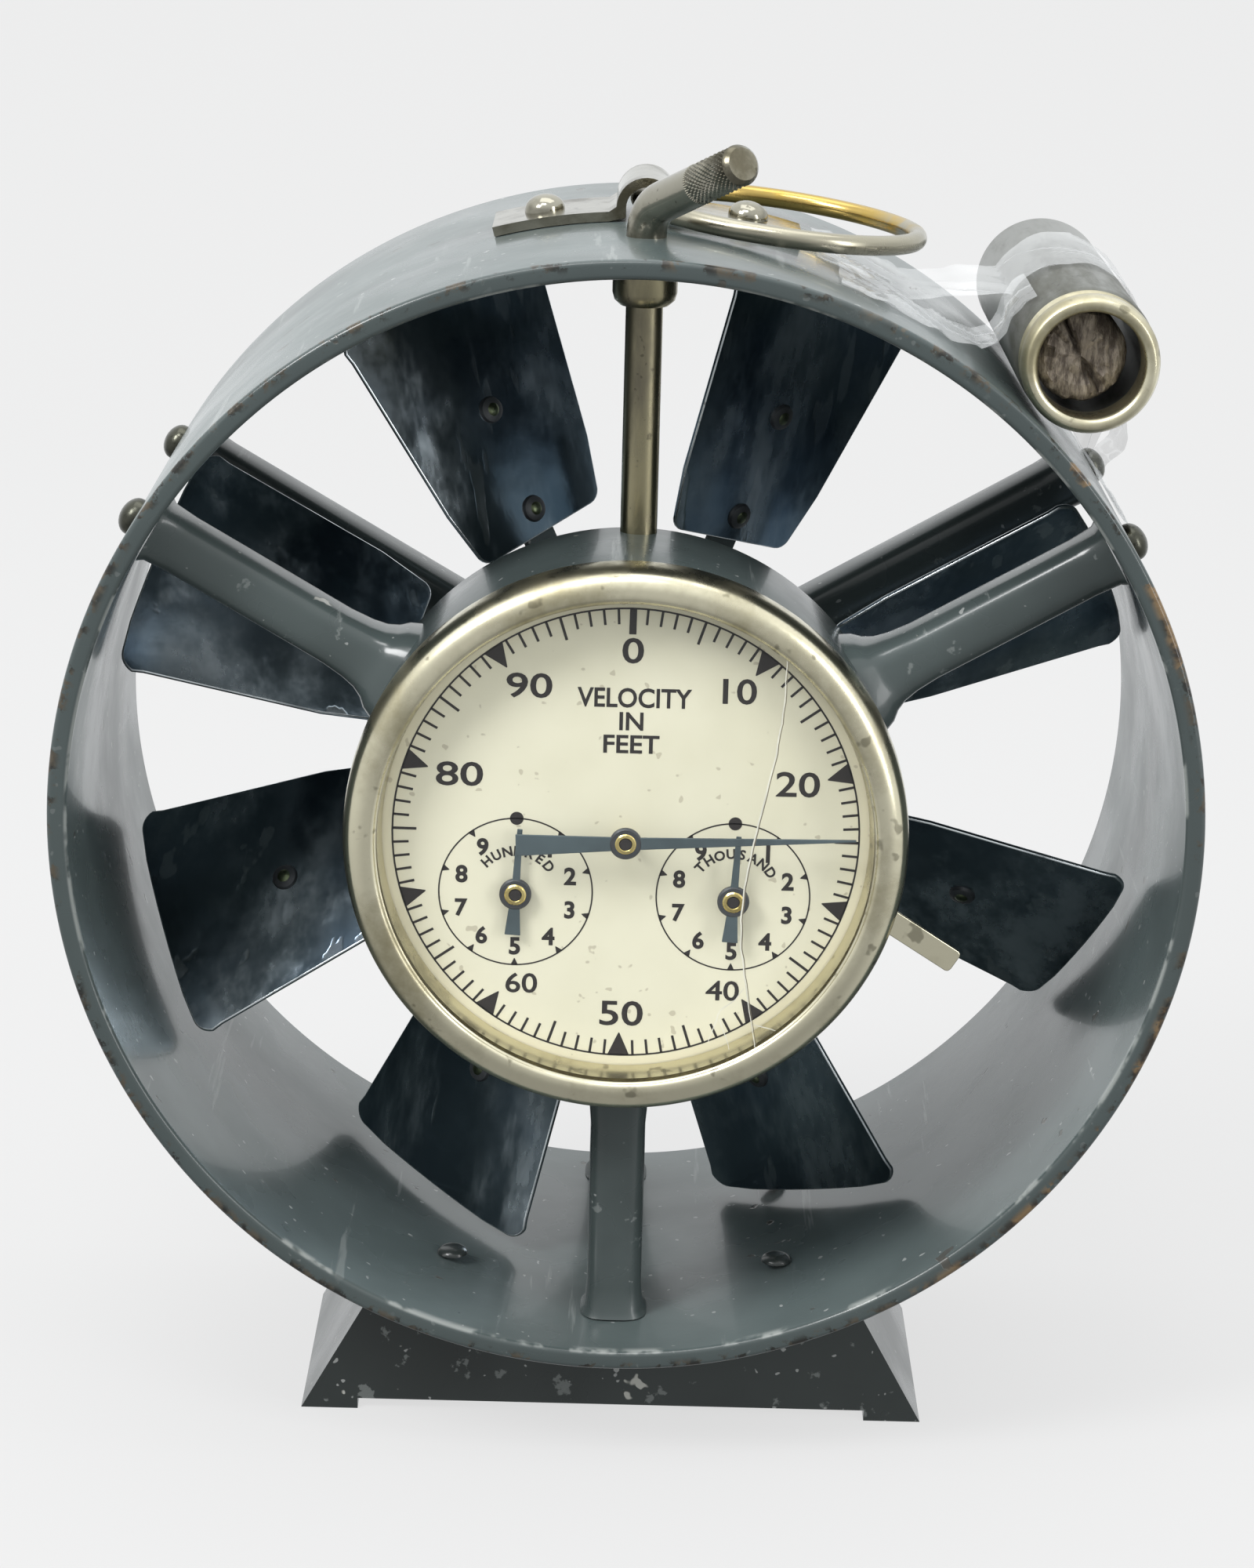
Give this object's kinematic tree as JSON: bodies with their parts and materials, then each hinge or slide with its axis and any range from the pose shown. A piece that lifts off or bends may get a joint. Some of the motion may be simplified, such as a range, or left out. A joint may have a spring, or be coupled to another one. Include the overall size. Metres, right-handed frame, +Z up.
{
  "type": "vane anemometer",
  "caption": "Antique vane anemometer: blued blade wheel in a grey ring duct, geared dial counter behind cracked glass, cast base, hanging loop, zero and start levers, taped-on ferrule",
  "frame": {"origin": "centre of the bounding box at the level of the two feet", "axes": "+X right as seen from the dial, +Y from the dial to the back along the duct, +Z up"},
  "size_m": [0.108, 0.0558, 0.1289],
  "materials": {
    "ring_enamel": "semi-gloss slate-grey enamel, chipped at the rims",
    "base_enamel": "semi-gloss dark grey enamel, chipped at the corners",
    "screw_brass": "worn domed brass heads",
    "bezel_nickel": "satin nickel worn to a champagne tone",
    "dial_glass": "flat clear glass, cracked from top to bottom",
    "dial_paint": "matt cream dial with black printing",
    "movement_brass": "plain machined",
    "steel": "plain turned",
    "blued_vane": "polished blue-black, cloudy and scratched",
    "hand_blue": "dull slate-blue hands",
    "tube_brass": "tarnished olive brass",
    "nickel": "worn nickel plate showing brass",
    "ferrule_grey": "matt grey metal tube",
    "stub_wood": "broken, weathered end grain",
    "tape_film": "translucent adhesive tape, crinkled"
  },
  "bodies": {
    "instrument": {"back_plate": "movement_brass", "base_bracket": "base_enamel", "base_screw_1": "base_enamel", "base_screw_2": "base_enamel", "base_screw_3": "base_enamel", "base_screw_4": "base_enamel", "bridge_plate": "movement_brass", "dial_bezel": "bezel_nickel", "dial_case": "ring_enamel", "dial_glass": "dial_glass", "dial_plate": "dial_paint", "duct_ring": "ring_enamel", "ferrule_collar": "bezel_nickel", "front_plate": "movement_brass", "front_shaft_bush": "movement_brass", "front_spoke_screw_1": "screw_brass", "front_spoke_screw_2": "screw_brass", "front_spoke_screw_3": "screw_brass", "handle_ferrule": "ferrule_grey", "handle_stub": "stub_wood", "hanger_bracket": "nickel", "hanger_rivet_left": "nickel", "hanger_rivet_right": "nickel", "holding_tape": "tape_film", "lever_pivot_screw": "steel", "lever_spring": "steel", "plate_pillar_1": "movement_brass", "plate_pillar_2": "movement_brass", "plate_pillar_3": "movement_brass", "rear_bearing_screw": "steel", "rear_spider": "base_enamel", "rear_spoke_screw_1": "screw_brass", "rear_spoke_screw_2": "screw_brass", "rear_spoke_screw_3": "screw_brass", "reset_spring": "steel", "reset_tube": "tube_brass", "tube_collar": "tube_brass"},
    "vane_wheel": {"vane_spider": "blued_vane", "vane_shaft": "steel", "vane_1": "blued_vane", "vane_2": "blued_vane", "vane_3": "blued_vane", "vane_4": "blued_vane", "vane_5": "blued_vane", "vane_6": "blued_vane", "vane_7": "blued_vane", "vane_8": "blued_vane"},
    "cross_shaft": {"cross_arbor": "movement_brass"},
    "second_shaft": {"second_arbor": "movement_brass"},
    "centre_pointer": {"centre_arbor": "movement_brass", "main_hand": "hand_blue"},
    "idler_shaft_a": {"idler_arbor_a": "movement_brass"},
    "hundreds_pointer": {"hundreds_arbor": "movement_brass", "hundreds_hand": "hand_blue"},
    "idler_shaft_b": {"idler_arbor_b": "movement_brass"},
    "thousands_pointer": {"thousands_arbor": "movement_brass", "thousands_hand": "hand_blue"},
    "zero_lever": {"reset_lever": "nickel"},
    "run_lever": {"start_lever": "bezel_nickel"},
    "loop": {"hanging_ring": "nickel"}
  },
  "joints": [
    {"name": "wheel_spin", "type": "hinge", "parent": "instrument", "child": "vane_wheel", "pos_m": [0, 0.005, 0.0646], "axis": [0, 1, 0], "continuous": true},
    {"name": "cross_spin", "type": "hinge", "parent": "instrument", "child": "cross_shaft", "pos_m": [0, -0.0143, 0.0599], "axis": [1, 0, 0], "continuous": true},
    {"name": "second_spin", "type": "hinge", "parent": "instrument", "child": "second_shaft", "pos_m": [0.009, -0.0143, 0.0646], "axis": [0, 1, 0], "continuous": true},
    {"name": "centre_spin", "type": "hinge", "parent": "instrument", "child": "centre_pointer", "pos_m": [0, -0.0206, 0.0646], "axis": [0, 1, 0], "continuous": true},
    {"name": "idler_a_spin", "type": "hinge", "parent": "instrument", "child": "idler_shaft_a", "pos_m": [-0.00588, -0.0206, 0.06338], "axis": [0, 1, 0], "continuous": true},
    {"name": "hundreds_spin", "type": "hinge", "parent": "instrument", "child": "hundreds_pointer", "pos_m": [-0.0102, -0.0206, 0.0588], "axis": [0, 1, 0], "continuous": true},
    {"name": "idler_b_spin", "type": "hinge", "parent": "instrument", "child": "idler_shaft_b", "pos_m": [-0.0003, -0.0206, 0.054], "axis": [0, 1, 0], "continuous": true},
    {"name": "thousands_spin", "type": "hinge", "parent": "instrument", "child": "thousands_pointer", "pos_m": [0.0102, -0.0206, 0.0588], "axis": [0, 1, 0], "continuous": true},
    {"name": "zero_lever_turn", "type": "hinge", "parent": "instrument", "child": "zero_lever", "pos_m": [0.0005, -0.0097, 0.1206], "axis": [0, 0, -1], "range_deg": [0, 45], "stiffness_Nm_per_rad": 0.002, "springref_deg": -17.19},
    {"name": "run_lever_turn", "type": "hinge", "parent": "instrument", "child": "run_lever", "pos_m": [0.021, -0.0211, 0.0587], "axis": [0, -1, 0], "range_deg": [0, 14]},
    {"name": "loop_swing", "type": "hinge", "parent": "instrument", "child": "loop", "pos_m": [0.0004, 0.0044, 0.1202], "axis": [0, -1, 0], "range_deg": [0, 166]}
  ],
  "couplings": [
    {"joint": "cross_spin", "follows": "wheel_spin", "ratio": 0.066667},
    {"joint": "second_spin", "follows": "wheel_spin", "ratio": -0.0066667},
    {"joint": "centre_spin", "follows": "wheel_spin", "ratio": 0.0066667},
    {"joint": "idler_a_spin", "follows": "wheel_spin", "ratio": -0.0016667},
    {"joint": "hundreds_spin", "follows": "wheel_spin", "ratio": 0.00066667},
    {"joint": "idler_b_spin", "follows": "wheel_spin", "ratio": -0.00016667},
    {"joint": "thousands_spin", "follows": "wheel_spin", "ratio": 0.000066667}
  ]
}
